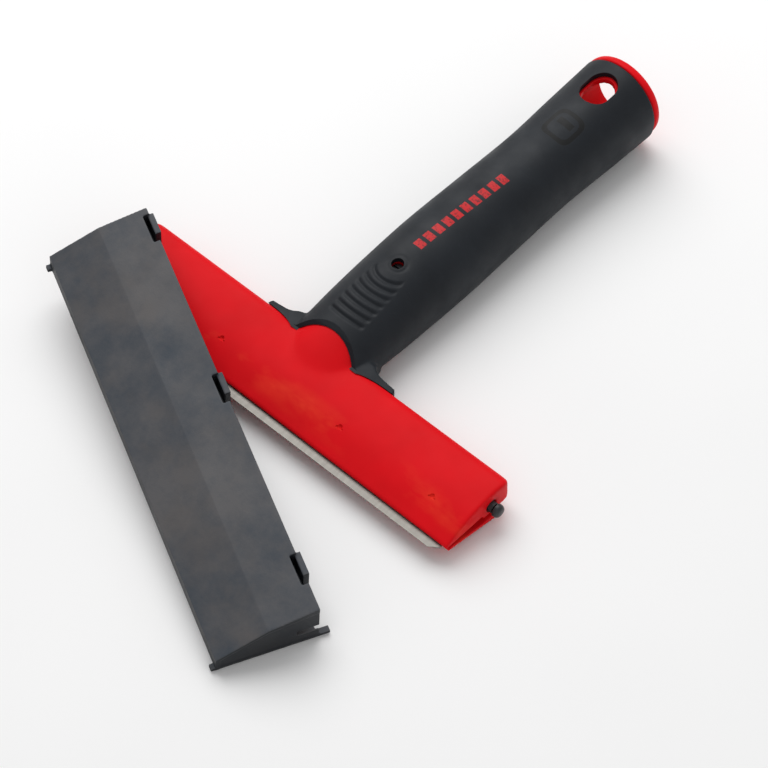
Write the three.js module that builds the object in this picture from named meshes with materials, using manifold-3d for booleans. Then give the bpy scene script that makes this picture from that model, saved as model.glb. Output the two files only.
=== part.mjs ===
// A 150 mm hand scraper for films, labels and glass, with its clip-on blade guard leaning on the head.
// Millimetres. X runs along the head, +Y from the blade towards the handle's end, +Z up.
import * as THREE from 'three';
import { mergeVertices } from 'three/addons/utils/BufferGeometryUtils.js';
import Module from 'manifold-3d';

const wasm = await Module();
wasm.setup();

// ---- Driving dimensions ----------------------------------------------------------------------
const gap = 0.3; // between pieces that touch or fit into each other

const head = {
  length: 156.6,
  depth: 30.3,
  undersideZ: 6.8, // flat face above the blade
  frontZ: 8, // top of the thin front edge
  crestY: 23,
  crestZ: 14.1,
  rearZ: 5.3, // bottom of the rear wall and of the hinge boss
  bossY: 17.3, // the blade's stop, at the front of the hinge boss
  cornerRadius: 3.2,
};

const blade = {
  length: 152.4,
  frontY: -2.8,
  rearY: 16.8,
  thickness: 0.6,
  topZ: 6.5,
  cornerX: 3.2,
  cornerY: 2.3,
};

const pegX = [-66, -27.8, 24.8, 64.4];
const peg = { y: 11, radius: 1.2, bottomZ: 4.7, topZ: 10.4 };
const dimple = { y: 9.2, radius: 1.2, depth: 0.45 };

const rod = { y: 21.2, z: 8, radius: 1.9, knobRadius: 2.3, knobLength: 2.4, reach: 4 };
const knuckle = { x: [-45, 0, 45], width: 12, radius: 3 };

const jaw = { frontY: 1, lipY: 3.2, lipTopZ: 5.6, frontBottomZ: 4.8, keelY: 22.6, rearY: 26, bottomZ: 0.15 };
const tail = { halfWidth: 9.6, endY: 52, bottomZ: 0.6, topZ: 3 };
const channel = { halfWidth: 10.6, startY: 25, endY: 54.5, roofZ: 8.8 };
const spring = {
  x: 5.5, y: 34, bottomZ: 3.35, topZ: 10.7, radius: 1.9, wire: 0.35, turns: 4.5, seatRadius: 2.8,
};

const tang = { halfWidth: 6.8, bottomZ: 10.2, topZ: 16.8, startY: 30, endY: 74 };
const screw = { y: 62.4, holeRadius: 2.1, headRadius: 1.8, shankRadius: 1.3, headTopZ: 23.6, tipZ: 11.6 };

const axisZ = 9.41; // handle axis at the head's rear face
const axisRise = 0.0419; // it climbs 2.4 degrees towards the handle's end
const gripWall = 2.2;
const grip = { startY: 26, endY: 173.6 };
const rim = { lowY: 28.1, lowZ: 14.1, highY: 33.3, highZ: 20.3 }; // the slanted front of the yoke
const wing = { tipX: 27.8, rootX: 13, rootZ: 14.3, tipZ: 11.9, bottomZ: 4.6, endY: 38.5 };
const coreStartY = 38.5;
const coreWall = 2.2;
const endRing = { radius: 15.9, length: 3.8 };
const boreStartY = 92;
const hangHole = { y: 161.9, halfWidth: 5.4, halfLength: 7.2, ledge: 0.9 };

const guard = {
  length: 158.8,
  width: 33.8,
  frontZ: 5.9,
  ridgeY: 17,
  ridgeZ: 13.7,
  rearZ: 17.1,
  wall: 1.4,
  endWall: 0.7,
  endInset: 0.2, // the roof reaches this far past the end walls
  yaw: -0.445,
  pitch: 0.0925,
  farCorner: [-88.7, -9.3, 14.98], // front corner of the base, at the end that leans on the head
};
const guardFlange = { front: -1.6, rear: 37.3, height: 1.4, width: 2.2, footWidth: 7 };
const guardSlot = { y: 26.4, bottomZ: 4.2, topZ: 7 };
const hookX = [2.6, 68.2, 137.8];
const hook = {
  notch: 11, notchDepth: 2.2, width: 8.2, back: 0.6, thickness: 2,
  out: 1.5, bottomZ: 4.6, barb: 1.5, barbZ: 2,
};
const hookBack = { start: -6.4, end: 12, depth: 1.3, bottomZ: 9 }; // the wall behind each notch

// The whole object is moved so that its bounding box stands centred over the origin.
const objectShift = [3.545, -49.268, 0];

const around = 40; // corners of a section across the handle

// ---- Materials -------------------------------------------------------------------------------
const material = (color, roughness, metalness = 0) => (
  () => new THREE.MeshStandardMaterial({ color, roughness, metalness })
);
const redPlastic = material(0xd81a20, 0.35);
const blackRubber = material(0x262c30, 0.75);
const greyPlastic = material(0x53575a, 0.6);
const blackPlastic = material(0x141516, 0.4);
const steel = material(0xc9c7c0, 0.3, 1);

// ---- Helpers ---------------------------------------------------------------------------------
function solidOf(geometry) {
  geometry.deleteAttribute('normal');
  geometry.deleteAttribute('uv');
  const merged = mergeVertices(geometry, 1e-4);
  const vertProperties = new Float32Array(merged.attributes.position.array);
  const triVerts = new Uint32Array(merged.index.array);
  return new wasm.Manifold(new wasm.Mesh({ numProp: 3, vertProperties, triVerts }));
}

function geometryOf(solid) {
  const mesh = solid.getMesh();
  const geometry = new THREE.BufferGeometry();
  geometry.setAttribute('position', new THREE.BufferAttribute(mesh.vertProperties, 3));
  geometry.setIndex(new THREE.BufferAttribute(mesh.triVerts, 1));
  geometry.computeVertexNormals();
  return geometry;
}

const axes = [new THREE.Vector3(1, 0, 0), new THREE.Vector3(0, 1, 0), new THREE.Vector3(0, 0, 1)];
const alongX = new THREE.Matrix4().makeBasis(axes[1], axes[2], axes[0]);
const alongY = new THREE.Matrix4().makeBasis(axes[2], axes[0], axes[1]);

// A shape drawn in (y, z), from x0 to x1.
function extrudeX(shape, x0, x1) {
  const options = { depth: x1 - x0, bevelEnabled: false, curveSegments: 10 };
  const geometry = new THREE.ExtrudeGeometry(shape, options);
  return solidOf(geometry.applyMatrix4(alongX).translate(x0, 0, 0));
}

// A shape drawn in (z, x), from y0 to y1.
function extrudeY(shape, y0, y1) {
  const options = { depth: y1 - y0, bevelEnabled: false, curveSegments: 10 };
  const geometry = new THREE.ExtrudeGeometry(shape, options);
  return solidOf(geometry.applyMatrix4(alongY).translate(0, y0, 0));
}

// A shape drawn in (x, y), from z0 to z1.
function extrudeZ(shape, z0, z1) {
  const options = { depth: z1 - z0, bevelEnabled: false, curveSegments: 10 };
  const geometry = new THREE.ExtrudeGeometry(shape, options);
  return solidOf(geometry.translate(0, 0, z0));
}

function box(x0, x1, y0, y1, z0, z1) {
  const geometry = new THREE.BoxGeometry(x1 - x0, y1 - y0, z1 - z0);
  return solidOf(geometry.translate((x0 + x1) / 2, (y0 + y1) / 2, (z0 + z1) / 2));
}

function cylinderX(radius, x0, x1, y, z, segments = 24) {
  const geometry = new THREE.CylinderGeometry(radius, radius, x1 - x0, segments);
  return solidOf(geometry.rotateZ(Math.PI / 2).translate((x0 + x1) / 2, y, z));
}

function cylinderZ(radius, x, y, z0, z1, segments = 20) {
  const geometry = new THREE.CylinderGeometry(radius, radius, z1 - z0, segments);
  return solidOf(geometry.rotateX(Math.PI / 2).translate(x, y, (z0 + z1) / 2));
}

function polygon(points) {
  return new THREE.Shape(points.map(([a, b]) => new THREE.Vector2(a, b)));
}

// A closed skin over a row of sections that all have the same number of corners.
function loft(sections) {
  const count = sections[0].length;
  const points = sections.flat();
  const index = [];
  for (let row = 0; row < sections.length - 1; row += 1) {
    for (let i = 0; i < count; i += 1) {
      const a = row * count + i;
      const b = row * count + ((i + 1) % count);
      index.push(a, a + count, b, b, a + count, b + count);
    }
  }
  const last = (sections.length - 1) * count;
  for (let i = 1; i < count - 1; i += 1) {
    index.push(0, i, i + 1);
    index.push(last, last + i + 1, last + i);
  }
  const geometry = new THREE.BufferGeometry().setFromPoints(points);
  geometry.setIndex(index);
  return solidOf(geometry);
}

// One rounded section in the plane y: half-width a, reach up above z and down below it.
function section(y, z, a, up, down, lowerPower = 2) {
  const points = [];
  for (let i = 0; i < around; i += 1) {
    const angle = (2 * Math.PI * i) / around;
    const c = Math.cos(angle);
    const s = Math.sin(angle);
    const power = s < 0 ? lowerPower : 2;
    const x = a * Math.sign(c) * Math.abs(c) ** (2 / power);
    const reach = s < 0 ? down : up;
    points.push(new THREE.Vector3(x, y, z + reach * Math.sign(s) * Math.abs(s) ** (2 / power)));
  }
  return points;
}

// ---- The handle's outer form ------------------------------------------------------------------
const handleAxis = (y) => axisZ + axisRise * (y - head.depth);

// Stations along the handle: y, half-width, reach above the axis, height of the underside.
const handleStations = [
  [26, 15, 9.2, 1.6],
  [36, 15.3, 11.6, 0.9],
  [48, 15.8, 13.7, 0.3],
  [63, 16.1, 15.4, 0],
  [82, 16.3, 16.1, 0.2],
  [106, 15.6, 15.5, 0.6],
  [132, 14.9, 14.7, 0.6],
  [152, 15.5, 15.3, 0.1],
  [173.6, 16.1, 16, 0],
];

function handleSection(y, inset) {
  const reached = handleStations.filter((row) => row[0] < y).length;
  const next = Math.min(Math.max(reached, 1), handleStations.length - 1);
  const before = handleStations[Math.max(next - 2, 0)];
  const from = handleStations[next - 1];
  const to = handleStations[next];
  const after = handleStations[Math.min(next + 1, handleStations.length - 1)];
  const t = (y - from[0]) / (to[0] - from[0]);
  const blend = (k) => {
    const startSlope = ((to[k] - before[k]) / (to[0] - before[0])) * (to[0] - from[0]);
    const endSlope = ((after[k] - from[k]) / (after[0] - from[0])) * (to[0] - from[0]);
    const chord = to[k] - from[k];
    return from[k] + t * startSlope + t * t * (3 * chord - 2 * startSlope - endSlope)
      + t * t * t * (startSlope + endSlope - 2 * chord);
  };
  const z = handleAxis(y);
  return section(y, z, blend(1) - inset, blend(2) - inset, z - blend(3) - inset, 2.3);
}

function handleForm(y0, y1, inset, steps) {
  const sections = [];
  for (let i = 0; i <= steps; i += 1) {
    sections.push(handleSection(y0 + ((y1 - y0) * i) / steps, inset));
  }
  return loft(sections);
}

// ---- Head -------------------------------------------------------------------------------------
function headProfile(grow) {
  const shape = new THREE.Shape();
  shape.moveTo(0.4 - grow, head.undersideZ - grow);
  shape.lineTo(-grow, head.frontZ - 0.4);
  shape.quadraticCurveTo(-grow, head.frontZ + grow, 0.6, head.frontZ + 0.25 + grow);
  shape.bezierCurveTo(7, 11.2 + grow, 13, head.crestZ + grow, head.crestY, head.crestZ + grow);
  shape.bezierCurveTo(27, head.crestZ + grow, 30 + grow, 13.7 + grow, head.depth + grow, 10.4);
  shape.lineTo(head.depth + grow, 7);
  shape.quadraticCurveTo(head.depth + grow, head.rearZ - grow, head.depth - 2, head.rearZ - grow);
  shape.lineTo(head.bossY, head.rearZ - grow);
  shape.lineTo(head.bossY, head.undersideZ - grow);
  return shape;
}

// The bar is rounded at its two rear corners.
function headBar(grow) {
  const half = head.length / 2 + grow;
  const rear = head.depth + grow;
  const plan = new THREE.Shape();
  plan.moveTo(-half, -5);
  plan.lineTo(half, -5);
  plan.lineTo(half, rear - head.cornerRadius);
  plan.quadraticCurveTo(half, rear, half - head.cornerRadius, rear);
  plan.lineTo(-half + head.cornerRadius, rear);
  plan.quadraticCurveTo(-half, rear, -half, rear - head.cornerRadius);
  return extrudeX(headProfile(grow), -half, half).intersect(extrudeZ(plan, 0, 30));
}

// The neck swells out of the head's top and runs back to the handle core.
function neckForm(grow) {
  const stations = [
    [13, 7.5, 12],
    [18, 11, 13.9],
    [24, 12.8, 16.2],
    [30, 12.6, 18.1],
    [34, 12, 19],
    [coreStartY - gap, 11.8, 19.3],
  ];
  const centreZ = 11;
  const bottomZ = 7.4;
  return loft(stations.map(([y, a, top], i) => {
    const end = i === stations.length - 1 ? grow : 0;
    return section(y + end, centreZ, a + grow, top - centreZ + grow, centreZ - bottomZ + grow, 3);
  }));
}

function tangForm(grow) {
  return box(
    -tang.halfWidth - grow, tang.halfWidth + grow,
    tang.startY, tang.endY + grow,
    tang.bottomZ - grow, tang.topZ + grow,
  );
}

const channelForm = box(
  -channel.halfWidth, channel.halfWidth,
  channel.startY, channel.endY,
  -1, channel.roofZ,
);

function topOfHead(y) {
  const t = Math.min(y / head.crestY, 1);
  return head.frontZ + (head.crestZ - head.frontZ) * (1 - (1 - t) ** 2);
}

function makeUpperJaw() {
  let jawSolid = headBar(0).add(neckForm(0)).add(tangForm(0)).subtract(channelForm);
  jawSolid = jawSolid.subtract(cylinderX(rod.radius + gap, -head.length, head.length, rod.y, rod.z));
  const room = knuckle.radius + gap;
  for (const x of knuckle.x) {
    const half = knuckle.width / 2 + gap;
    jawSolid = jawSolid.subtract(box(x - half, x + half, rod.y - room, rod.y + room, 0, rod.z + room));
  }
  for (const x of pegX) {
    jawSolid = jawSolid.subtract(cylinderZ(peg.radius + gap, x, peg.y, 0, peg.topZ + gap));
    const ball = new THREE.SphereGeometry(dimple.radius, 12, 8);
    const ballZ = topOfHead(dimple.y) + dimple.radius - dimple.depth;
    jawSolid = jawSolid.subtract(solidOf(ball.translate(x - 0.6, dimple.y, ballZ)));
  }
  for (const side of [-1, 1]) {
    const seatTop = spring.topZ + gap;
    const seat = cylinderZ(spring.seatRadius, side * spring.x, spring.y, channel.roofZ - 1, seatTop);
    jawSolid = jawSolid.subtract(seat);
  }
  return jawSolid.subtract(cylinderZ(screw.shankRadius + gap, 0, screw.y, screw.tipZ - gap, tang.topZ + 1));
}

function makeLowerJaw() {
  const plate = polygon([
    [jaw.frontY, jaw.frontBottomZ],
    [jaw.keelY, jaw.bottomZ],
    [jaw.rearY, jaw.bottomZ],
    [jaw.rearY, 2.6],
    [18, 2.7],
    [jaw.lipY + 1, 5.1],
    [jaw.lipY, jaw.lipTopZ],
    [jaw.frontY, jaw.lipTopZ],
  ]);
  let solid = extrudeX(plate, -head.length / 2, head.length / 2);
  const tongue = polygon([
    [jaw.rearY - 1, tail.bottomZ],
    [tail.endY - 1.2, tail.bottomZ],
    [tail.endY, tail.bottomZ + 1],
    [tail.endY, tail.topZ - 0.6],
    [tail.endY - 0.8, tail.topZ],
    [jaw.rearY - 1, tail.topZ - 0.5],
  ]);
  solid = solid.add(extrudeX(tongue, -tail.halfWidth, tail.halfWidth));
  for (let i = 0; i < 5; i += 1) {
    const y = tail.endY - 4 - i * 2.6;
    const base = tail.bottomZ + 0.2;
    const ridge = polygon([[y - 0.8, base], [y, tail.bottomZ - 0.4], [y + 0.8, base]]);
    solid = solid.add(extrudeX(ridge, -tail.halfWidth + 1, tail.halfWidth - 1));
  }
  for (const x of knuckle.x) {
    const x0 = x - knuckle.width / 2;
    const x1 = x + knuckle.width / 2;
    const stem = box(x0, x1, rod.y - 1.8, rod.y + 1.8, 1.5, rod.z);
    const ear = cylinderX(knuckle.radius, x0, x1, rod.y, rod.z).add(stem);
    solid = solid.add(ear);
  }
  return solid.subtract(cylinderX(rod.radius + gap, -head.length, head.length, rod.y, rod.z));
}

// The rod carries a rounded knob on one end; the other end takes a push-on cap of the same shape.
function knobProfile() {
  return [
    new THREE.Vector2(0, 0),
    new THREE.Vector2(rod.knobRadius, 0),
    new THREE.Vector2(rod.knobRadius, rod.knobLength * 0.55),
    new THREE.Vector2(rod.knobRadius * 0.75, rod.knobLength * 0.88),
    new THREE.Vector2(0, rod.knobLength),
  ];
}

function knob(side) {
  const geometry = new THREE.LatheGeometry(knobProfile(), 20);
  geometry.rotateZ(-side * Math.PI / 2);
  return solidOf(geometry.translate(side * (head.length / 2 + rod.reach - rod.knobLength), rod.y, rod.z));
}

function makeRod() {
  const end = head.length / 2 + rod.reach;
  return cylinderX(rod.radius, -end + 1, end - rod.knobLength - gap, rod.y, rod.z).add(knob(-1));
}

function makeRodCap() {
  return knob(1);
}

function makeBlade() {
  const half = blade.length / 2;
  const shape = polygon([
    [-half, blade.frontY + blade.cornerY],
    [-half + blade.cornerX, blade.frontY],
    [half - blade.cornerX, blade.frontY],
    [half, blade.frontY + blade.cornerY],
    [half, blade.rearY],
    [-half, blade.rearY],
  ]);
  let solid = extrudeZ(shape, blade.topZ - blade.thickness, blade.topZ);
  for (const x of pegX) {
    const half0 = peg.radius + 0.4;
    solid = solid.subtract(box(x - half0, x + half0, peg.y, blade.rearY + 1, 5, 8));
    solid = solid.subtract(cylinderZ(half0, x, peg.y, 5, 8));
  }
  // The cutting edge is ground on both faces.
  const bevelDepth = 1.4;
  for (const side of [-1, 1]) {
    const face = blade.topZ - blade.thickness / 2 + (side * blade.thickness) / 2;
    const edge = blade.topZ - blade.thickness / 2 + side * 0.06;
    const wedge = polygon([
      [blade.frontY - 0.2, edge],
      [blade.frontY + bevelDepth, face],
      [blade.frontY - 0.2, face + side],
    ]);
    solid = solid.subtract(extrudeX(wedge, -half - 1, half + 1));
  }
  return solid;
}

const makePeg = (x) => cylinderZ(peg.radius, x, peg.y, peg.bottomZ, peg.topZ);

// A compression spring between the lower jaw's tail and the neck.
function makeSpring(side) {
  const height = spring.topZ - spring.bottomZ - 2 * spring.wire;
  class Helix extends THREE.Curve {
    getPoint(t, target = new THREE.Vector3()) {
      const angle = t * spring.turns * 2 * Math.PI;
      return target.set(
        side * spring.x + spring.radius * Math.cos(angle),
        spring.y + spring.radius * Math.sin(angle),
        spring.bottomZ + spring.wire + height * t,
      );
    }
  }
  const wire = new THREE.Shape().absarc(0, 0, spring.wire, 0, 2 * Math.PI);
  const options = { steps: Math.round(spring.turns * 14), extrudePath: new Helix(), curveSegments: 3 };
  return solidOf(new THREE.ExtrudeGeometry(wire, options));
}

// ---- Handle -----------------------------------------------------------------------------------
function hangCut(halfWidth, halfLength) {
  const straight = halfLength - halfWidth;
  const shape = new THREE.Shape();
  shape.absarc(0, hangHole.y + straight, halfWidth, 0, Math.PI);
  shape.absarc(0, hangHole.y - straight, halfWidth, Math.PI, 2 * Math.PI);
  return extrudeZ(shape, -2, 40);
}

function makeCore() {
  let core = handleForm(coreStartY, grip.endY - 2, gripWall, 16);
  // The end ring has the full section of the handle and an open end.
  const neckRadius = endRing.radius - gripWall - 0.6;
  const flange = [
    [grip.endY - 4, neckRadius],
    [grip.endY + gap - 0.01, neckRadius],
    [grip.endY + gap, endRing.radius],
    [grip.endY + endRing.length - 1.8, endRing.radius],
    [grip.endY + endRing.length - 0.6, endRing.radius - 0.5],
    [grip.endY + endRing.length, endRing.radius - 1.5],
  ];
  const flangeZ = handleAxis(grip.endY);
  core = core.add(loft(flange.map(([y, r]) => section(y, flangeZ, r, r, Math.min(r, flangeZ - 0.1)))));
  const bore = handleForm(boreStartY, grip.endY + endRing.length + 1, gripWall + coreWall, 16);
  core = core.subtract(bore).subtract(tangForm(gap)).subtract(channelForm);
  core = core.subtract(cylinderZ(screw.headRadius + gap, 0, screw.y, tang.topZ + 1, 40));
  core = core.subtract(cylinderZ(screw.shankRadius + gap, 0, screw.y, tang.bottomZ, 40));
  return core.subtract(hangCut(hangHole.halfWidth - hangHole.ledge, hangHole.halfLength - hangHole.ledge));
}

function makeWings() {
  const plan = new THREE.Shape();
  plan.moveTo(-wing.tipX + 1, 26);
  plan.lineTo(wing.tipX - 1, 26);
  plan.quadraticCurveTo(wing.tipX + 0.6, 28, wing.tipX - 0.8, 31.9);
  plan.bezierCurveTo(20.5, 31.8, 16.4, 31.8, 15.2, wing.endY);
  plan.lineTo(-15.2, wing.endY);
  plan.bezierCurveTo(-16.4, 31.8, -20.5, 31.8, -wing.tipX + 0.8, 31.9);
  plan.quadraticCurveTo(-wing.tipX - 0.6, 28, -wing.tipX + 1, 26);
  const front = polygon([
    [wing.bottomZ, -wing.tipX - 1],
    [wing.tipZ, -wing.tipX - 1],
    [wing.rootZ, -wing.rootX],
    [wing.rootZ, wing.rootX],
    [wing.tipZ, wing.tipX + 1],
    [wing.bottomZ, wing.tipX + 1],
  ]);
  return extrudeZ(plan, 0, 30).intersect(extrudeY(front, 20, 60));
}

function makeGrip() {
  let solid = handleForm(grip.startY, grip.endY, 0, 30).add(makeWings());
  // Thumb ribs: arcs around the screw hole, cut into the top between it and the yoke.
  for (let i = 0; i < 7; i += 1) {
    const radius = 7.5 + i * 2.9;
    const arc = new THREE.Shape();
    arc.absarc(0, screw.y, radius + 0.45, -0.5 * Math.PI - 7 / radius, -0.5 * Math.PI + 7 / radius);
    arc.absarc(0, screw.y, radius - 0.45, -0.5 * Math.PI + 7 / radius, -0.5 * Math.PI - 7 / radius, true);
    const surface = handleAxis(screw.y - radius) + 15.2 - Math.max(radius - 5, 0) * 0.16;
    solid = solid.subtract(extrudeZ(arc, surface - 0.9, 40));
  }
  // The slanted front of the yoke, which leaves the red neck in sight.
  const slope = (rim.highZ - rim.lowZ) / (rim.highY - rim.lowY);
  const front = polygon([
    [rim.lowY - 12, rim.lowZ],
    [rim.lowY, rim.lowZ],
    [rim.highY + 3, rim.lowZ + slope * (rim.highY + 3 - rim.lowY)],
    [rim.highY + 3, 40],
    [rim.lowY - 12, 40],
  ]);
  solid = solid.subtract(extrudeX(front, -40, 40));
  solid = solid.subtract(headBar(gap)).subtract(neckForm(gap)).subtract(channelForm);
  solid = solid.subtract(box(-60, 60, 0, head.depth + gap, -1, head.rearZ));
  solid = solid.subtract(handleForm(coreStartY - gap, grip.endY + 1, gripWall - gap, 18));
  solid = solid.subtract(cylinderZ(screw.holeRadius, 0, screw.y, 20, 40));
  return solid.subtract(hangCut(hangHole.halfWidth, hangHole.halfLength));
}

function makeScrew() {
  const shank = cylinderZ(screw.shankRadius, 0, screw.y, screw.tipZ, screw.headTopZ - 1);
  const top = cylinderZ(screw.headRadius, 0, screw.y, screw.headTopZ - 2.2, screw.headTopZ);
  const reach = screw.headRadius + 1;
  const slot = box(-reach, reach, screw.y - 0.3, screw.y + 0.3, screw.headTopZ - 0.7, 40);
  return shank.add(top).subtract(slot);
}

// ---- Guard ------------------------------------------------------------------------------------
// In its own frame: x along its length, y from the front wall to the open rear, z up from the base.
function makeGuard() {
  const roof = (inset, bottom, rear) => polygon([
    [inset, bottom],
    [rear, bottom],
    [rear, guard.rearZ - inset],
    [guard.ridgeY, guard.ridgeZ - inset],
    [inset, guard.frontZ - inset * 0.55],
  ]);
  const wallStart = guard.endInset;
  const wallEnd = guard.endInset + guard.endWall;
  let solid = extrudeX(roof(0, 0, guard.width), 0, guard.length);
  const hollow = roof(guard.wall, -1, guard.width + 5);
  solid = solid.subtract(extrudeX(hollow, wallEnd, guard.length - wallEnd));
  for (const [x0, x1] of [[-1, wallStart], [guard.length - wallStart, guard.length + 1]]) {
    solid = solid.subtract(extrudeX(hollow, x0, x1));
  }
  for (const x0 of [0, guard.length - guardFlange.width]) {
    const x1 = x0 + guardFlange.width;
    solid = solid.add(box(x0, x1, guardFlange.front, guardFlange.rear, 0, guardFlange.height));
  }
  for (const x0 of [0.1, guard.length - guardFlange.footWidth]) {
    const x1 = x0 + guardFlange.footWidth - 0.1;
    solid = solid.add(box(x0, x1, 0.2, guard.width - 0.6, 0, guardFlange.height - 0.2));
  }
  solid = solid.subtract(box(-5, guard.length + 5, guardSlot.y, 60, guardSlot.bottomZ, guardSlot.topZ));
  for (const x of hookX) {
    const outer = guard.width + hook.out;
    const inner = outer - hook.thickness;
    const notchY = guard.width - hook.notchDepth;
    solid = solid.subtract(box(x, x + hook.notch, notchY, guard.width + 5, 3, 30));
    const backY = notchY - hookBack.depth;
    const backStart = Math.max(x + hookBack.start, wallEnd - 0.2);
    const back = box(backStart, x + hookBack.end, backY, notchY, hookBack.bottomZ, guard.rearZ - 2.2);
    const shelfTop = hookBack.bottomZ + 1.3;
    const shelf = box(backStart, x + hookBack.end, backY, inner + 0.2, hookBack.bottomZ, shelfTop);
    const leg = polygon([
      [inner, guard.rearZ - 1.2],
      [inner, hook.bottomZ + hook.barbZ],
      [inner - hook.barb, hook.bottomZ + hook.barbZ - 0.8],
      [inner, hook.bottomZ],
      [outer, hook.bottomZ],
      [outer, guard.rearZ - 1],
    ]);
    const post = extrudeX(leg, x - hook.back, x - hook.back + hook.width);
    const webY = guard.width - guard.wall;
    const web = box(backStart, x + 0.1, webY, guard.width, hookBack.bottomZ, guard.rearZ - 1);
    solid = solid.add(back).add(shelf).add(post).add(web);
  }
  return solid;
}

// ---- Assembly ---------------------------------------------------------------------------------
const object = new THREE.Group();
object.position.set(...objectShift);

function addMesh(parent, name, solid, makeMaterial) {
  const mesh = new THREE.Mesh(geometryOf(solid), makeMaterial());
  mesh.name = name;
  parent.add(mesh);
}

addMesh(object, 'upper_jaw', makeUpperJaw(), redPlastic);
addMesh(object, 'lower_jaw', makeLowerJaw(), redPlastic);
addMesh(object, 'hinge_rod', makeRod(), blackPlastic);
addMesh(object, 'hinge_rod_cap', makeRodCap(), blackPlastic);
addMesh(object, 'blade', makeBlade(), steel);
pegX.forEach((x, i) => addMesh(object, `blade_peg_${i + 1}`, makePeg(x), steel));
addMesh(object, 'jaw_spring_left', makeSpring(-1), steel);
addMesh(object, 'jaw_spring_right', makeSpring(1), steel);
addMesh(object, 'handle_core', makeCore(), redPlastic);
addMesh(object, 'grip', makeGrip(), blackRubber);
addMesh(object, 'tang_screw', makeScrew(), steel);

const guardFrame = new THREE.Group();
guardFrame.position.set(...guard.farCorner);
guardFrame.rotation.set(0, guard.pitch, guard.yaw, 'ZYX');
addMesh(guardFrame, 'guard', makeGuard(), greyPlastic);
object.add(guardFrame);

export default object;
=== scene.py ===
import math

import bmesh
import bpy
import numpy as np
from mathutils import Matrix, Vector


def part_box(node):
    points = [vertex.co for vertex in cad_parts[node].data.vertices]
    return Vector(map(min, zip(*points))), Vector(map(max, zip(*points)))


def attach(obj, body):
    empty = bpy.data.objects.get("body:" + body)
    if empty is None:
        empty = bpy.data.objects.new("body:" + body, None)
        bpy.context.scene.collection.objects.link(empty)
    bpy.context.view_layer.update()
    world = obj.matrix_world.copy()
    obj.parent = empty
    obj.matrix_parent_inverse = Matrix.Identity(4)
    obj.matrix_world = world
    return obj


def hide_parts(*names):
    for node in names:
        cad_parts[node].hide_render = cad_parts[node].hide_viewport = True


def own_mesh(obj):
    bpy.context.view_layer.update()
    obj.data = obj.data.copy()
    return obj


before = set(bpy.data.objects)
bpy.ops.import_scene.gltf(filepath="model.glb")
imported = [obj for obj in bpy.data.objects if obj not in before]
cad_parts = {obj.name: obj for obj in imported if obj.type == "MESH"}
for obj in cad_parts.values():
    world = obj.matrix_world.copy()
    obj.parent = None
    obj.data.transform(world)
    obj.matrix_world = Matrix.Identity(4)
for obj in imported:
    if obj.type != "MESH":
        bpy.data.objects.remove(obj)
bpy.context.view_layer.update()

# Shapes below are drawn in millimetres: x along the head from its middle, y from the head's front
# edge towards the handle's end, z up from the floor. WORLD carries them into the row frame in metres.
jaw_low, jaw_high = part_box("upper_jaw")
WORLD = Matrix.Translation(((jaw_low.x + jaw_high.x) / 2, jaw_low.y, 0)) @ Matrix.Scale(0.001, 4)

HEAD_LENGTH = 156.6
HEAD_DEPTH = 30.3
CORNER_RADIUS = 3.2
PEG_X = (-66, -27.8, 24.8, 64.4)
KNUCKLE_X = (-45, 0, 45)
BLADE_LENGTH = 152.4
CREST_Y = 23
CREST_Z = 14.1
FRONT_Z = 8
UNDERSIDE_Z = 6.8
REAR_Z = 5.3

AXIS_Z = 9.41
AXIS_RISE = 0.0419
GRIP_START = 26
GRIP_END = 173.6
GRIP_WALL = 2.2
CORE_WALL = 2.2
BORE_START = 92
RING_RADIUS = 15.9
RING_LENGTH = 3.8

SCREW_Y = 62.4
SCREW_TOP = 23.6
HANG_Y = 161.9

ROD_Y = 21.2
ROD_Z = 8

GUARD_LENGTH = 158.8
GUARD_WIDTH = 33.8
GUARD_PLACE = (
    Matrix.Translation((-88.7, -9.3, 14.98))
    @ Matrix.Rotation(-0.445, 4, "Z")
    @ Matrix.Rotation(0.0925, 4, "Y")
)


# ---- Mesh helpers ------------------------------------------------------------------------------

def new_object(name, verts, faces):
    mesh = bpy.data.meshes.new(name)
    mesh.from_pydata([tuple(v) for v in verts], [], faces)
    mesh.validate()
    obj = bpy.data.objects.new(name, mesh)
    bpy.context.scene.collection.objects.link(obj)
    bm = bmesh.new()
    bm.from_mesh(mesh)
    bmesh.ops.recalc_face_normals(bm, faces=bm.faces)
    bm.to_mesh(mesh)
    bm.free()
    return obj


def prism(points, axis, start, end):
    """Extrudes a flat outline along an axis: x takes (y, z), y takes (x, z) and z takes (x, y)."""
    place = {
        "x": lambda a, b, c: (c, a, b),
        "y": lambda a, b, c: (a, c, b),
        "z": lambda a, b, c: (a, b, c),
    }[axis]
    count = len(points)
    verts = [place(a, b, start) for a, b in points] + [place(a, b, end) for a, b in points]
    faces = [tuple(range(count)), tuple(range(2 * count - 1, count - 1, -1))]
    for i in range(count):
        j = (i + 1) % count
        faces.append((i, j, j + count, i + count))
    return new_object("prism", verts, faces)


def block(x0, x1, y0, y1, z0, z1):
    return prism([(x0, y0), (x1, y0), (x1, y1), (x0, y1)], "z", z0, z1)


def loft(sections):
    """Skins a row of closed sections that all have the same number of points."""
    count = len(sections[0])
    verts = [p for row in sections for p in row]
    faces = [tuple(range(count))]
    last = (len(sections) - 1) * count
    faces.append(tuple(range(last + count - 1, last - 1, -1)))
    for row in range(len(sections) - 1):
        for i in range(count):
            j = (i + 1) % count
            a = row * count
            faces.append((a + i, a + j, a + j + count, a + i + count))
    return new_object("loft", verts, faces)


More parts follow.
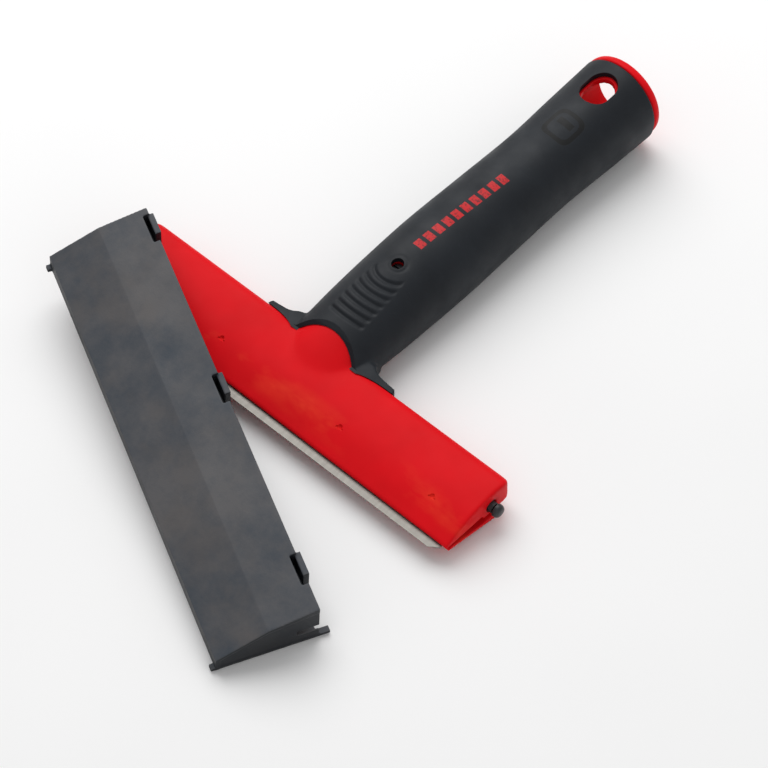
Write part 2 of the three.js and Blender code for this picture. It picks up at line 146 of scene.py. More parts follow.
def lathe(profile, steps=48):
    """Turns (radius, height) points about the z axis."""
    rings = []
    for radius, height in profile:
        ring = []
        for i in range(steps):
            angle = 2 * math.pi * i / steps
            ring.append((max(radius, 0.01) * math.cos(angle), max(radius, 0.01) * math.sin(angle), height))
        rings.append(ring)
    return loft(rings)


def move(obj, matrix):
    obj.data.transform(matrix)
    return obj


def drop(obj):
    mesh = obj.data
    bpy.data.objects.remove(obj)
    bpy.data.meshes.remove(mesh)


def settle(obj):
    """Turns the modifiers' result into the mesh itself."""
    depsgraph = bpy.context.evaluated_depsgraph_get()
    result = bpy.data.meshes.new_from_object(obj.evaluated_get(depsgraph))
    obj.modifiers.clear()
    old = obj.data
    obj.data = result
    bpy.data.meshes.remove(old)
    return obj


def combine(obj, others, operation):
    for other in others:
        modifier = obj.modifiers.new("boolean", "BOOLEAN")
        modifier.operation = operation
        modifier.solver = "EXACT"
        modifier.object = other
        settle(obj)
        drop(other)
    return obj


def add(obj, *others):
    return combine(obj, others, "UNION")


def cut(obj, *others):
    return combine(obj, others, "DIFFERENCE")


def bevel(obj, width, segments=3, angle=0.5):
    modifier = obj.modifiers.new("bevel", "BEVEL")
    modifier.width = width
    modifier.segments = segments
    modifier.limit_method = "ANGLE"
    modifier.angle_limit = angle
    return settle(obj)


def mould(obj, voxel, smoothing):
    """Remeshes a solid finely and softens it, which rounds its edges as a moulding's are."""
    remesh = obj.modifiers.new("remesh", "REMESH")
    remesh.mode = "VOXEL"
    remesh.voxel_size = voxel
    remesh.adaptivity = 0
    if smoothing:
        smooth = obj.modifiers.new("smooth", "SMOOTH")
        smooth.factor = 0.5
        smooth.iterations = smoothing
    return settle(obj)


def soften(obj, rounds, weight):
    """Smooths the vertices for which weight(x, y, z) is above zero."""
    group = obj.vertex_groups.new(name="soften")
    for vertex in obj.data.vertices:
        amount = weight(*vertex.co)
        if amount > 0:
            group.add([vertex.index], min(amount, 1), "REPLACE")
    smooth = obj.modifiers.new("smooth", "SMOOTH")
    smooth.factor = 0.6
    smooth.iterations = rounds
    smooth.vertex_group = "soften"
    settle(obj)
    obj.vertex_groups.clear()
    return obj


def reshape(obj, function):
    """Moves every vertex along its normal by function(x, y, z, normal)."""
    mesh = obj.data
    count = len(mesh.vertices)
    places = np.empty(count * 3)
    mesh.vertices.foreach_get("co", places)
    places = places.reshape(-1, 3)
    normals = np.empty(count * 3)
    mesh.vertices.foreach_get("normal", normals)
    normals = normals.reshape(-1, 3)
    places += normals * function(places[:, 0], places[:, 1], places[:, 2], normals)[:, None]
    mesh.vertices.foreach_set("co", places.ravel())
    mesh.update()
    return obj


def finish_piece(obj, name, body, nodes, material, place=WORLD, smooth=True):
    obj.name = name
    obj.data.name = name
    obj.data.transform(place)
    for polygon in obj.data.polygons:
        polygon.use_smooth = smooth
    if smooth:
        obj.data.set_sharp_from_angle(angle=0.7)
    obj.data.materials.clear()
    obj.data.materials.append(material)
    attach(obj, body)
    if nodes:
        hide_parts(*nodes)
    return obj


# ---- Materials ---------------------------------------------------------------------------------

class Nodes:
    """Short names for building one material's node tree."""

    def __init__(self, name):
        self.material = bpy.data.materials.new(name)
        self.material.use_nodes = True
        self.tree = self.material.node_tree
        self.shader = self.tree.nodes["Principled BSDF"]
        self.place = self.new("ShaderNodeTexCoord").outputs["Object"]

    def new(self, kind, **settings):
        node = self.tree.nodes.new(kind)
        for key, value in settings.items():
            setattr(node, key, value)
        return node

    def link(self, source, target):
        self.tree.links.new(source, target)

    def set(self, name, value):
        self.shader.inputs[name].default_value = value

    def noise(self, scale, detail=3, roughness=0.5, stretch=None):
        """Noise whose features are 1/scale metres across."""
        node = self.new("ShaderNodeTexNoise")
        node.inputs["Scale"].default_value = scale
        node.inputs["Detail"].default_value = detail
        node.inputs["Roughness"].default_value = roughness
        source = self.place
        if stretch:
            mapping = self.new("ShaderNodeMapping")
            mapping.inputs["Scale"].default_value = stretch
            self.link(self.place, mapping.inputs["Vector"])
            source = mapping.outputs["Vector"]
        self.link(source, node.inputs["Vector"])
        return node.outputs["Fac"]

    def ramp(self, value, low, high, to_low=0.0, to_high=1.0):
        node = self.new("ShaderNodeMapRange", clamp=True)
        node.inputs["From Min"].default_value = low
        node.inputs["From Max"].default_value = high
        node.inputs["To Min"].default_value = to_low
        node.inputs["To Max"].default_value = to_high
        self.link(value, node.inputs["Value"])
        return node.outputs["Result"]

    def math(self, operation, a, b=None, clamp=False):
        node = self.new("ShaderNodeMath", operation=operation, use_clamp=clamp)
        for socket, value in zip(node.inputs, (a, b)):
            if value is None:
                continue
            if isinstance(value, (int, float)):
                socket.default_value = value
            else:
                self.link(value, socket)
        return node.outputs["Value"]

    def mix(self, factor, a, b):
        node = self.new("ShaderNodeMix", data_type="RGBA")
        colours = [s for s in node.inputs if s.type == "RGBA"]
        factors = [s for s in node.inputs if s.type == "VALUE" and s.name == "Factor"]
        self.link(factor, factors[0])
        for socket, value in zip(colours, (a, b)):
            if isinstance(value, tuple):
                socket.default_value = (*value, 1)
            else:
                self.link(value, socket)
        return [s for s in node.outputs if s.type == "RGBA"][0]

    def bump(self, height, distance, strength=1.0, after=None):
        node = self.new("ShaderNodeBump")
        node.inputs["Strength"].default_value = strength
        node.inputs["Distance"].default_value = distance
        self.link(height, node.inputs["Height"])
        if after is not None:
            self.link(after, node.inputs["Normal"])
        return node.outputs["Normal"]

    def millimetres(self):
        """The place in the millimetre axes the shapes are drawn in."""
        node = self.new("ShaderNodeSeparateXYZ")
        self.link(self.place, node.inputs["Vector"])
        start = WORLD.to_translation()
        return [
            self.math("MULTIPLY", self.math("SUBTRACT", node.outputs[axis], start[i]), 1000)
            for i, axis in enumerate("XYZ")
        ]

    def inside(self, value, centre, reach):
        """1 where value is within reach of centre."""
        return self.math("LESS_THAN", self.math("ABSOLUTE", self.math("SUBTRACT", value, centre)), reach)

    def painted_wall_shade(self):
        """1 on faces that stand upright, 0 on faces that look up or down; it masks the shade painted on
        walls.
        """
        node = self.new("ShaderNodeSeparateXYZ")
        self.link(self.new("ShaderNodeTexCoord").outputs["Normal"], node.inputs["Vector"])
        return self.ramp(self.math("ABSOLUTE", node.outputs["Z"]), 0.5, 0.85, 0.85, 0.0)

    def edges(self):
        """1 along raised edges, 0 elsewhere."""
        geometry = self.new("ShaderNodeNewGeometry")
        return self.ramp(geometry.outputs["Pointiness"], 0.52, 0.58)

    def finish(self, colour=None, roughness=None, normal=None):
        if colour is not None:
            self.link(colour, self.shader.inputs["Base Color"])
        if roughness is not None:
            self.link(roughness, self.shader.inputs["Roughness"])
        if normal is not None:
            self.link(normal, self.shader.inputs["Normal"])
        return self.material


def red_plastic():
    n = Nodes("red_plastic")
    cloud = n.ramp(n.noise(60, 2), 0.35, 0.7)
    colour = n.mix(cloud, (0.74, 0.006, 0.011), (0.67, 0.006, 0.010))
    worn = n.ramp(n.noise(300, 5, 0.65, (1, 0.3, 1)), 0.64, 0.8)
    colour = n.mix(n.math("MULTIPLY", worn, 0.08), colour, (0.85, 0.05, 0.03))
    # Painted highlight: orange patches on a band near y = 8 mm along the head's top stand in for the light
    # reflected off its crest.
    y = n.millimetres()[1]
    highlight_band = n.ramp(n.math("ABSOLUTE", n.math("SUBTRACT", y, 8)), 1, 6, 1.0, 0.0)
    highlight_patches = n.ramp(n.noise(75, 4, 0.65, (0.5, 1, 1)), 0.5, 0.72)
    painted_highlight = n.math("MULTIPLY", n.math("MULTIPLY", highlight_band, highlight_patches), 0.4)
    colour = n.mix(painted_highlight, colour, (0.9, 0.085, 0.03))
    roughness = n.ramp(n.noise(150, 4), 0.3, 0.7, 0.34, 0.46)
    fine = n.noise(1800, 2)
    broad = n.noise(70, 2)
    normal = n.bump(fine, 0.00002, 0.3, n.bump(broad, 0.0006, 0.25))
    n.set("Specular IOR Level", 0.05)
    return n.finish(colour, roughness, normal)


def black_rubber():
    n = Nodes("black_rubber")
    cloud = n.ramp(n.noise(45, 4, 0.6), 0.3, 0.72)
    colour = n.mix(cloud, (0.004, 0.006, 0.0095), (0.009, 0.0125, 0.0175))
    dust = n.ramp(n.noise(900, 3, 0.7), 0.6, 0.8)
    colour = n.mix(n.math("MULTIPLY", dust, 0.1), colour, (0.06, 0.07, 0.08))
    roughness = n.ramp(n.noise(120, 4), 0.3, 0.7, 0.5, 0.66)

    # A row of plain red bars and a plain badge outline stand in for the printing on the top.
    x, y, z = n.millimetres()
    along = n.math("SUBTRACT", y, 71.5)
    across = n.math("SUBTRACT", n.math("SUBTRACT", x, 0.2), n.math("MULTIPLY", along, 0.045))
    bars = n.math("LESS_THAN", n.math("FRACT", n.math("DIVIDE", along, 4.25)), 0.66)
    strip = n.math("MULTIPLY", n.inside(along, 21.2, 21.2), n.inside(across, 0, 1.9))
    printed = n.math("MULTIPLY", n.math("MULTIPLY", bars, strip), n.math("GREATER_THAN", z, 18))
    rubbed = n.ramp(n.noise(1100, 3, 0.7), 0.28, 0.5)
    colour = n.mix(n.math("MULTIPLY", printed, rubbed), colour, (0.55, 0.012, 0.016))
    fourth = [
        n.math("POWER", n.math("ABSOLUTE", n.math("DIVIDE", n.math("SUBTRACT", v, centre), half)), 4)
        for v, centre, half in ((x, 1.6, 5.8), (y, 142, 6.4))
    ]
    radius = n.math("ADD", *fourth)
    ring = n.inside(radius, 0.65, 0.35)
    bar = n.math("MULTIPLY", n.inside(x, 1.6, 3), n.inside(y, 143.2, 1.3))
    badge = n.math("MULTIPLY", n.math("MAXIMUM", ring, bar), n.math("GREATER_THAN", z, 18))
    colour = n.mix(n.math("MULTIPLY", badge, 0.9), colour, (0.0008, 0.001, 0.0012))

    height = n.math("SUBTRACT", n.noise(90, 2), n.math("MULTIPLY", badge, 0.35))
    normal = n.bump(n.noise(2600, 2), 0.00005, 0.5, n.bump(height, 0.0005, 0.3))
    n.set("Specular IOR Level", 0.3)
    return n.finish(colour, roughness, normal)


def grey_plastic():
    n = Nodes("grey_plastic")
    cloud = n.ramp(n.noise(32, 6, 0.7), 0.36, 0.64)
    colour = n.mix(cloud, (0.040, 0.050, 0.064), (0.092, 0.090, 0.094))
    warmth = n.ramp(n.noise(55, 4, 0.6), 0.48, 0.68)
    colour = n.mix(n.math("MULTIPLY", warmth, 0.4), colour, (0.098, 0.086, 0.080))
    smear = n.ramp(n.noise(120, 4, 0.6, (0.3, 1, 1)), 0.5, 0.75)
    colour = n.mix(n.math("MULTIPLY", smear, 0.2), colour, (0.105, 0.103, 0.106))
    # Painted shade: upright faces, the guard's end walls among them, are darkened almost to black as if
    # turned from the light.
    colour = n.mix(n.painted_wall_shade(), colour, (0.009, 0.011, 0.014))
    colour = n.mix(n.math("MULTIPLY", n.edges(), 0.2), colour, (0.12, 0.118, 0.12))
    roughness = n.ramp(n.noise(80, 4), 0.3, 0.7, 0.46, 0.62)
    normal = n.bump(n.noise(1500, 3), 0.00006, 0.5, n.bump(n.noise(35, 2), 0.0008, 0.3))
    n.set("Specular IOR Level", 0.25)
    return n.finish(colour, roughness, normal)


def black_plastic():
    n = Nodes("black_plastic")
    cloud = n.ramp(n.noise(300, 3), 0.3, 0.7)
    colour = n.mix(cloud, (0.010, 0.011, 0.013), (0.018, 0.019, 0.022))
    roughness = n.ramp(n.noise(500, 3), 0.3, 0.7, 0.3, 0.45)
    return n.finish(colour, roughness, n.bump(n.noise(2000, 2), 0.00003, 0.5))


def steel(name, colour, roughness, stretch):
    n = Nodes(name)
    brushed = n.noise(900, 4, 0.6, stretch)
    tone = n.mix(n.ramp(brushed, 0.3, 0.7), tuple(0.82 * c for c in colour), colour)
    stain = n.ramp(n.noise(90, 5, 0.6), 0.56, 0.75)
    tone = n.mix(n.math("MULTIPLY", stain, 0.35), tone, tuple(0.6 * c for c in colour))
    n.set("Metallic", 1.0)
    rough = n.ramp(brushed, 0.3, 0.7, roughness - 0.06, roughness + 0.08)
    return n.finish(tone, rough, n.bump(brushed, 0.00002, 0.4))


RED = red_plastic()
RUBBER = black_rubber()
GREY = grey_plastic()
BLACK = black_plastic()
BLADE_STEEL = steel("blade_steel", (0.32, 0.305, 0.28), 0.55, (1, 0.06, 1))
PIN_STEEL = steel("pin_steel", (0.62, 0.62, 0.63), 0.3, (1, 1, 0.1))
SPRING_STEEL = steel("spring_steel", (0.5, 0.5, 0.52), 0.3, (1, 1, 1))
# The screw's steel is near black, which paints the shade of the deep screw hole into the screw.
SCREW_STEEL_PAINTED_SHADE = steel("screw_steel", (0.03, 0.03, 0.033), 0.5, (1, 1, 1))


# ---- Head --------------------------------------------------------------------------------------

def curve_points(p0, p1, p2, p3, count):
    points = []
    for i in range(1, count + 1):
        t = i / count
        s = 1 - t
        points.append(tuple(
            s**3 * a + 3 * s * s * t * b + 3 * s * t * t * c + t**3 * d
            for a, b, c, d in zip(p0, p1, p2, p3)
        ))
    return points


def head_profile(grow=0.0):
    """The head's outline in (y, z)."""
    front = -grow
    rear = HEAD_DEPTH + grow
    points = [(0.3 - grow, UNDERSIDE_Z - grow), (front, UNDERSIDE_Z + 0.3), (front, FRONT_Z - 0.3)]
    points.append((0.6, FRONT_Z + 0.25 + grow))
    points += curve_points(points[-1], (7, 11.2 + grow), (13, CREST_Z + grow), (CREST_Y, CREST_Z + grow), 24)
    points += curve_points(points[-1], (27, CREST_Z + grow), (30 + grow, 13.7 + grow), (rear, 10.4), 16)
    points += curve_points((rear, 7), (rear, 5.8), (29.6, REAR_Z - grow), (28.3, REAR_Z - grow), 8)
    points += [(17.3, REAR_Z - grow), (17.3, UNDERSIDE_Z - grow)]
    return points


def head_bar(grow=0.0):
    """The bar, rounded at its two rear corners."""
    half = HEAD_LENGTH / 2 + grow
    rear = HEAD_DEPTH + grow
    r = CORNER_RADIUS
    bar = prism(head_profile(grow), "x", -half, half)
    for side in (-1, 1):
        corner = [(side * half, rear - r)]
        corner += curve_points(corner[0], (side * half, rear - r / 3), (side * (half - r / 3), rear),
                               (side * (half - r), rear), 8)
        beyond = side * (half + 1)
        corner += [(side * (half - r), rear + 1), (beyond, rear + 1), (beyond, rear - r)]
        cut(bar, prism(corner, "z", -1, 30))
    return bar


def super_section(y, z, half_width, up, down, power_up=2.0, power_down=2.0, around=112):
    points = []
    for i in range(around):
        angle = 2 * math.pi * i / around
        c, s = math.cos(angle), math.sin(angle)
        power = power_down if s < 0 else power_up
        x = half_width * math.copysign(abs(c) ** (2 / power), c)
        points.append((x, y, z + (down if s < 0 else up) * math.copysign(abs(s) ** (2 / power), s)))
    return points


NECK = [(13, 7.5, 12), (18, 11, 13.9), (24, 12.8, 16.2), (30, 12.6, 18.1), (34, 12, 19), (38.2, 11.8, 19.3)]


def neck(grow=0.0):
    ys = np.linspace(NECK[0][0], NECK[-1][0], 40)
    stations = np.array(NECK)
    rows = []
    for y in ys:
        t = np.interp(y, stations[:, 0], np.arange(len(stations)))
        half = smooth_value(stations[:, 1], t)
        top = smooth_value(stations[:, 2], t)
        rows.append(super_section(y, 11, half + grow, top - 11 + grow, 3.6 + grow, 2.0, 3.0))
    return loft(rows)


def smooth_value(values, t):
    """Catmull-Rom through evenly numbered values."""
    i = min(int(t), len(values) - 2)
    f = t - i
    p = [values[min(max(i + k, 0), len(values) - 1)] for k in (-1, 0, 1, 2)]
    return 0.5 * (
        2 * p[1] + (p[2] - p[0]) * f + (2 * p[0] - 5 * p[1] + 4 * p[2] - p[3]) * f**2
        + (3 * p[1] - p[0] - 3 * p[2] + p[3]) * f**3
    )


def sphere(x, y, z, radius):
    profile = [(radius * math.sin(math.pi * i / 16), -radius * math.cos(math.pi * i / 16)) for i in range(17)]
    return move(lathe(profile, 32), Matrix.Translation((x, y, z)))


def head_top(y):
    t = min(y / CREST_Y, 1)
    return FRONT_Z + (CREST_Z - FRONT_Z) * (1 - (1 - t) ** 2)


def neck_blend(x, y, z):
    """1 where the neck rises out of the head's top, 0 away from it."""
    if z < 9 or y > 31:
        return 0
    return min((21 - abs(x)) / 3, (y - 10) / 3, (31 - y) / 3)


def end_blend(x, y, z):
    """1 along the top of the head's two ends, 0 away from them."""
    if z < 7.5:
        return 0
    return min((abs(x) - HEAD_LENGTH / 2 + 4) / 3, (z - 7.5) / 2)


def make_head():
    obj = add(head_bar(), neck())
    cut(obj, block(-10.6, 10.6, 25, 60, -1, 8.8))
    rod_room = move(lathe([(2.2, -100), (2.2, 100)], 32), Matrix.Rotation(math.pi / 2, 4, "Y"))
    cut(obj, move(rod_room, Matrix.Translation((0, ROD_Y, ROD_Z))))
    for x in KNUCKLE_X:
        cut(obj, block(x - 6.3, x + 6.3, ROD_Y - 3.3, ROD_Y + 3.3, 0, ROD_Z + 3.3))
    mould(obj, 0.3, 3)
    soften(obj, 160, neck_blend)
    soften(obj, 50, end_blend)
    for x in PEG_X:
        pit = sphere(x - 0.6, 9.2, head_top(9.2) + 0.35, 1.0)
        nick = block(x - 1.9, x + 0.9, 8.6, 9.2, head_top(9) - 0.4, 20)
        cut(obj, pit, nick)
    finish_piece(obj, "upper_jaw_shell", "scraper", ["upper_jaw"], RED)


def make_lower_jaw():
    plate = [(1, 4.8), (22.6, 0.15), (26, 0.15), (26, 2.6), (18, 2.7), (4.2, 5.1), (3.2, 5.6), (1, 5.6)]
    obj = prism(plate, "x", -HEAD_LENGTH / 2, HEAD_LENGTH / 2)
    tongue = [(25, 0.6), (50.8, 0.6), (52, 1.6), (52, 2.4), (51.2, 3), (25, 2.5)]
    add(obj, prism(tongue, "x", -9.6, 9.6))
    for i in range(5):
        y = 48 - 2.6 * i
        add(obj, prism([(y - 0.8, 0.9), (y, 0.25), (y + 0.8, 0.9)], "x", -8.6, 8.6))
    for x in KNUCKLE_X:
        ear = move(lathe([(3, -6), (3, 6)], 40), Matrix.Rotation(math.pi / 2, 4, "Y"))
        ear = move(ear, Matrix.Translation((x, ROD_Y, ROD_Z)))
        add(obj, ear, block(x - 6, x + 6, ROD_Y - 1.8, ROD_Y + 1.8, 1.5, ROD_Z))
    rod_room = move(lathe([(2.2, -100), (2.2, 100)], 32), Matrix.Rotation(math.pi / 2, 4, "Y"))
    cut(obj, move(rod_room, Matrix.Translation((0, ROD_Y, ROD_Z))))
    mould(obj, 0.3, 2)
    finish_piece(obj, "lower_jaw_plate", "jaw", ["lower_jaw"], RED)


def make_rod():
    end = HEAD_LENGTH / 2 + 4
    knob = [(0, 0), (2.0, 0), (2.3, 0.25), (2.3, 1.1), (2.15, 1.6), (1.75, 2.1), (1.0, 2.35), (0, 2.4)]
    rod = lathe([(0, -end + 1), (1.9, -end + 1), (1.9, end - 2.8), (0, end - 2.8)], 40)
    left = move(lathe(knob, 40), Matrix.Rotation(math.pi, 4, "Y"))
    left = move(left, Matrix.Translation((0, 0, -end + 2.4)))
    add(rod, left)
    lay = Matrix.Translation((0, ROD_Y, ROD_Z)) @ Matrix.Rotation(math.pi / 2, 4, "Y")
    bevel(rod, 0.12, 2)
    finish_piece(rod, "hinge_rod_body", "scraper", ["hinge_rod"], BLACK, WORLD @ lay)
    cap = move(lathe(knob, 40), Matrix.Translation((0, 0, end - 2.4)))
    finish_piece(cap, "hinge_rod_end", "scraper", ["hinge_rod_cap"], BLACK, WORLD @ lay)


def make_blade():
    half = BLADE_LENGTH / 2
    right = [(half - 3.2, -2.8), (half, -0.5), (half, 16.8)]
    outline = [(-x, y) for x, y in reversed(right[:2])] + right + [(-half, 16.8)]
    obj = prism(outline, "z", 5.9, 6.5)
    for x in PEG_X:
        pocket = lathe([(1.6, 5), (1.6, 8)], 24)
        cut(obj, move(pocket, Matrix.Translation((x, 11, 0))), block(x - 1.6, x + 1.6, 11, 20, 5, 8))
    for side in (-1, 1):
        face = 6.2 + side * 0.3
        edge = 6.2 + side * 0.05
        cut(obj, prism([(-3.0, edge), (-1.4, face), (-1.4, face + side), (-3.0, face + side)], "x", -80, 80))
    bevel(obj, 0.05, 1)
    finish_piece(obj, "blade_strip", "blade", ["blade"], BLADE_STEEL, smooth=False)


def make_springs():
    for side, name in ((-1, "left"), (1, "right")):
        turns, wire, radius = 4.5, 0.35, 1.9
        rows = []
        steps = int(turns * 24)
        for i in range(steps + 1):
            t = i / steps
            angle = 2 * math.pi * turns * t
            outward = Vector((math.cos(angle), math.sin(angle), 0))
            centre = Vector((side * 5.5, 34, 3.75 + 6.5 * t)) + radius * outward
            row = []
            for k in range(10):
                a = 2 * math.pi * k / 10
                row.append(centre + outward * wire * math.cos(a) + Vector((0, 0, wire * math.sin(a))))
            rows.append(row)
        obj = loft(rows)
        node = "jaw_spring_" + name
        finish_piece(obj, node + "_coil", "scraper", [node], SPRING_STEEL)
        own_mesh(obj)


# ---- Handle ------------------------------------------------------------------------------------

STATIONS = [
    (26, 15, 9.2, 1.6),
    (36, 15.3, 11.6, 0.9),
    (48, 15.8, 13.7, 0.3),
    (63, 16.1, 15.4, 0),
    (82, 16.3, 16.1, 0.2),
    (106, 15.6, 15.5, 0.6),
    (132, 14.9, 14.7, 0.6),
    (152, 15.5, 15.3, 0.1),
    (173.6, 16.1, 16, 0),
]


def axis_z(y):
    return AXIS_Z + AXIS_RISE * (y - HEAD_DEPTH)


def handle_values(y):
    reached = sum(1 for row in STATIONS if row[0] < y)
    k = min(max(reached, 1), len(STATIONS) - 1)
    before, start, end = STATIONS[max(k - 2, 0)], STATIONS[k - 1], STATIONS[k]
    after = STATIONS[min(k + 1, len(STATIONS) - 1)]
    t = (y - start[0]) / (end[0] - start[0])
    values = []
    for i in (1, 2, 3):
        slope0 = (end[i] - before[i]) / (end[0] - before[0]) * (end[0] - start[0])
        slope1 = (after[i] - start[i]) / (after[0] - start[0]) * (end[0] - start[0])
        chord = end[i] - start[i]
        values.append(
            start[i] + t * slope0 + t * t * (3 * chord - 2 * slope0 - slope1)
            + t**3 * (slope0 + slope1 - 2 * chord)
        )
    return values


def handle_form(y0, y1, inset, steps):
    rows = []
    for y in np.linspace(y0, y1, steps + 1):
        half, up, bottom = handle_values(y)
        z = axis_z(y)
        rows.append(super_section(y, z, half - inset, up - inset, z - bottom - inset, 2.0, 2.3))
    return loft(rows)


def oval(half_width, half_length, z0, z1):
    straight = half_length - half_width
    points = []
    for i in range(25):
        angle = math.pi * i / 24
        points.append((half_width * math.cos(angle), HANG_Y + straight + half_width * math.sin(angle)))
    for i in range(25):
        angle = math.pi + math.pi * i / 24
        points.append((half_width * math.cos(angle), HANG_Y - straight + half_width * math.sin(angle)))
    return prism(points, "z", z0, z1)


def make_core():
    core = handle_form(38.5, GRIP_END - 2, GRIP_WALL, 60)
    z = axis_z(GRIP_END)
    neck_radius = RING_RADIUS - GRIP_WALL - 0.6
    profile = [
        (-4, neck_radius), (0.3, neck_radius), (0.31, RING_RADIUS - 0.5), (0.6, RING_RADIUS - 0.1),
        (1.1, RING_RADIUS), (RING_LENGTH - 2, RING_RADIUS), (RING_LENGTH - 1, RING_RADIUS - 0.3),
        (RING_LENGTH - 0.3, RING_RADIUS - 0.9), (RING_LENGTH, RING_RADIUS - 1.7),
    ]
    rows = [super_section(GRIP_END + step, z, r, r, min(r, z - 0.1)) for step, r in profile]
    add(core, loft(rows))
    cut(core, handle_form(BORE_START, GRIP_END + RING_LENGTH + 1, GRIP_WALL + CORE_WALL, 40))
    cut(core, oval(4.5, 6.3, -2, 40), block(-10.6, 10.6, 25, 54.5, -1, 8.8))
    cut(core, move(lathe([(2.7, 16), (2.7, 40)], 40), Matrix.Translation((0, SCREW_Y, 0))))
    mould(core, 0.35, 3)
    finish_piece(core, "handle_core_body", "scraper", ["handle_core"], RED)


def make_wings():
    right = [(26.8, 26)] + curve_points((26.8, 26), (28.2, 27.3), (28.2, 30), (27, 31.9), 8)
    right += curve_points((27, 31.9), (20.5, 31.8), (16.4, 31.8), (15.2, 38.5), 20)
    outline = right + [(-x, y) for x, y in reversed(right)]
    obj = prism(outline, "z", 4.6, 30)
    top = [(-29, 11.9), (-13, 14.3), (13, 14.3), (29, 11.9), (29, 40), (-29, 40)]
    cut(obj, prism(top, "y", 20, 60))
    cut(obj, prism([(33, 14.4), (39, 8), (39, 20), (33, 20)], "x", -40, 40))
    return bevel(obj, 0.9, 3)


def wing_blend(x, y, z):
    """1 where the wings run into the handle, 0 away from there."""
    return min((abs(x) - 12) / 2, (22 - abs(x)) / 3, (y - 31) / 2, (41 - y) / 3, (17 - z) / 2)


def ribs(x, y, z, normal):
    """Shallow grooves in arcs round the screw hole, between it and the head."""
    radius = np.hypot(x, y - SCREW_Y)
    along = np.arctan2(x, SCREW_Y - y) * radius
    wave = 0.5 - 0.5 * np.cos(2 * np.pi * (radius - 6.2) / 2.9)
    inside = np.clip((radius - 6.2) / 0.4, 0, 1) * np.clip((26.5 - radius) / 0.4, 0, 1)
    inside *= np.clip((7.6 - np.abs(along)) / 1.2, 0, 1) * (y < SCREW_Y) * (normal[:, 2] > 0.3)
    ring = np.exp(-(((radius - 3.3) / 0.5) ** 2)) * (normal[:, 2] > 0.3) * 0.15
    return -0.55 * wave**1.5 * inside - ring


def make_grip():
    obj = add(handle_form(GRIP_START, GRIP_END, 0, 90), make_wings())
    mould(obj, 0.3, 4)
    soften(obj, 40, wing_blend)
    reshape(obj, ribs)
    slope = (20.3 - 14.1) / (33.3 - 28.1)
    front = [(16, 14.1), (28.1, 14.1), (36.3, 14.1 + slope * 8.2), (36.3, 40), (16, 40)]
    cut(obj, prism(front, "x", -40, 40), head_bar(0.3), neck(0.3), block(-10.6, 10.6, 20, 54.5, -1, 8.8))
    cut(obj, block(-60, 60, 0, HEAD_DEPTH + 0.3, -1, REAR_Z))
    cut(obj, handle_form(38.2, GRIP_END + 1, GRIP_WALL - 0.3, 60))
    hole = move(lathe([(2.15, 18), (2.15, 40)], 40), Matrix.Translation((0, SCREW_Y, 0)))
    cut(obj, hole, oval(5.4, 7.2, -2, 40))
    finish_piece(obj, "grip_sleeve", "scraper", ["grip"], RUBBER)


def make_screw():
    obj = lathe([(0, 11.6), (1.1, 11.8), (1.3, 12.4), (1.3, 20), (2.0, 20), (2.0, SCREW_TOP - 0.3),
                 (1.8, SCREW_TOP), (0, SCREW_TOP)], 40)
    cut(obj, block(-3, 3, -0.3, 0.3, SCREW_TOP - 0.7, 30))
    move(obj, Matrix.Translation((0, SCREW_Y, 0)))
    finish_piece(obj, "tang_screw_body", "scraper", ["tang_screw"], SCREW_STEEL_PAINTED_SHADE, smooth=False)


# ---- Guard -------------------------------------------------------------------------------------

def make_guard():
    def roof(inset, bottom, rear):
        ridge = (17, 13.7 - inset)
        return [(inset, bottom), (rear, bottom), (rear, 17.1 - inset), ridge, (inset, 5.9 - inset * 0.55)]

    end = GUARD_LENGTH
    obj = prism(roof(0, 0, GUARD_WIDTH), "x", 0, end)
    cut(obj, prism(roof(1.4, -1, GUARD_WIDTH + 5), "x", 0.9, end - 0.9))
    # The end walls stand a little inside the roof's edge.
    for x0, x1 in ((-1, 0.2), (end - 0.2, end + 1)):
        cut(obj, prism(roof(1.3, -1, GUARD_WIDTH + 5), "x", x0, x1))
    for x in (0, end - 2.2):
        add(obj, block(x, x + 2.2, -1.6, 37.3, 0.02, 1.4))
    for x in (0.1, end - 7):
        add(obj, block(x, x + 6.9, 0.2, 33.2, 0.03, 1.2))
    cut(obj, block(-5, end + 5, 26.4, 60, 4.2, 7))
    outer = GUARD_WIDTH + 1.5
    inner = outer - 2
    notch = GUARD_WIDTH - 2.2
    for x in (2.6, 68.2, 137.8):
        cut(obj, block(x, x + 11, notch, GUARD_WIDTH + 5, 3, 30))
        leg = [(inner, 15.9), (inner, 6.6), (inner - 1.5, 5.8), (inner, 4.6), (outer, 4.6), (outer, 16.1)]
        start = max(x - 6.4, 0.7)
        add(obj, block(start, x + 12, notch - 1.3, notch + 0.05, 9, 14.9))
        add(obj, block(start, x + 12, notch - 1.3, inner + 0.2, 9, 10.3), prism(leg, "x", x - 0.6, x + 7.6))
        add(obj, block(start, x + 0.1, GUARD_WIDTH - 1.4, GUARD_WIDTH - 0.02, 9, 16.1))
    mould(obj, 0.28, 2)
    finish_piece(obj, "guard_shell", "guard", ["guard"], GREY, WORLD @ GUARD_PLACE)


make_head()
make_lower_jaw()
make_rod()
make_blade()
make_springs()
make_core()
make_grip()
make_screw()
make_guard()

for number in range(1, 5):
    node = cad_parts["blade_peg_%d" % number]
    node.data.materials.clear()
    node.data.materials.append(PIN_STEEL)


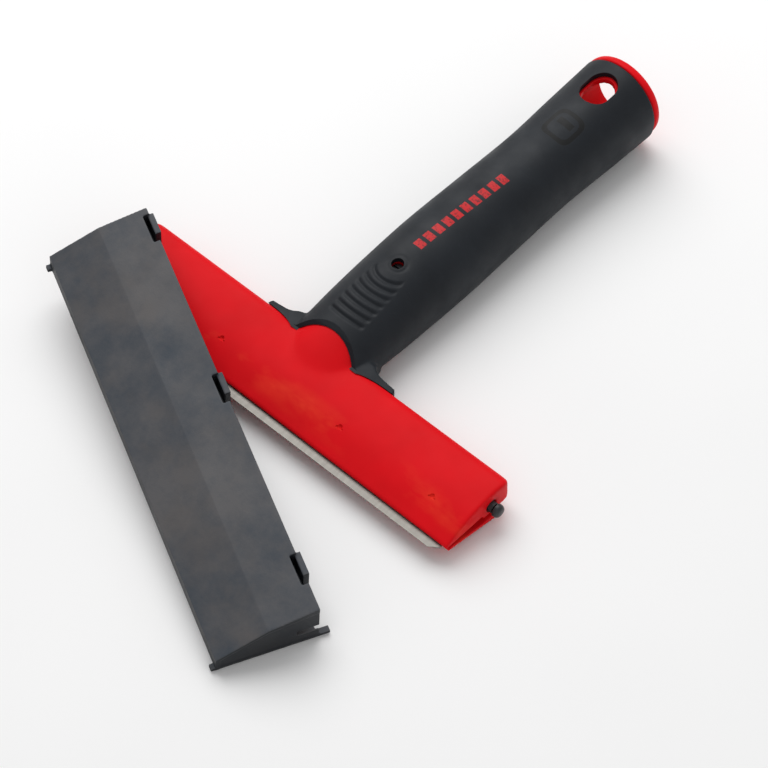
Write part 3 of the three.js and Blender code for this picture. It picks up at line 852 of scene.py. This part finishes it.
# ---- Floor, light and camera -------------------------------------------------------------------

def make_floor():
    n = Nodes("floor")
    tone = n.mix(n.ramp(n.noise(6, 2), 0.3, 0.7), (0.92, 0.92, 0.92), (0.95, 0.95, 0.95))
    n.set("Roughness", 0.9)
    n.set("Specular IOR Level", 0.1)
    floor = new_object("floor", [(-3, -3, 0), (3, -3, 0), (3, 3, 0), (-3, 3, 0)], [(0, 1, 2, 3)])
    floor.data.materials.append(n.finish(tone))


def area_light(name, direction, distance, size, power, colour=(1, 1, 1)):
    light = bpy.data.lights.new(name, "AREA")
    light.shape = "DISK"
    light.size = size
    light.energy = power
    light.color = colour
    obj = bpy.data.objects.new(name, light)
    bpy.context.scene.collection.objects.link(obj)
    towards = Vector(direction).normalized()
    obj.location = towards * distance
    obj.rotation_mode = "QUATERNION"
    obj.rotation_quaternion = towards.to_track_quat("Z", "Y")


def make_camera():
    data = bpy.data.cameras.new("camera")
    data.sensor_width = 36
    data.lens = 153.8
    obj = bpy.data.objects.new("camera", data)
    bpy.context.scene.collection.objects.link(obj)
    azimuth, elevation = math.radians(42.9), math.radians(52.6)
    back = Vector((
        math.sin(azimuth) * math.cos(elevation),
        -math.cos(azimuth) * math.cos(elevation),
        math.sin(elevation),
    ))
    target = WORLD @ Vector((16.64, 38.01, 0))
    obj.location = target + back * 1.065
    obj.rotation_mode = "QUATERNION"
    obj.rotation_quaternion = back.to_track_quat("Z", "Y")
    data.clip_start = 0.01
    data.clip_end = 20
    bpy.context.scene.camera = obj


make_floor()
area_light("key", (-0.5, 0.35, 0.85), 1.3, 1.4, 13)
area_light("fill", (0.8, -0.5, 0.6), 1.6, 1.2, 1)
area_light("back", (0.1, 0.9, 0.6), 1.6, 1.0, 1)
world = bpy.data.worlds.new("studio")
world.use_nodes = True
world.node_tree.nodes["Background"].inputs["Color"].default_value = (1, 1, 1, 1)
world.node_tree.nodes["Background"].inputs["Strength"].default_value = 0.5
bpy.context.scene.world = world
bpy.context.scene.view_settings.view_transform = "Standard"
make_camera()
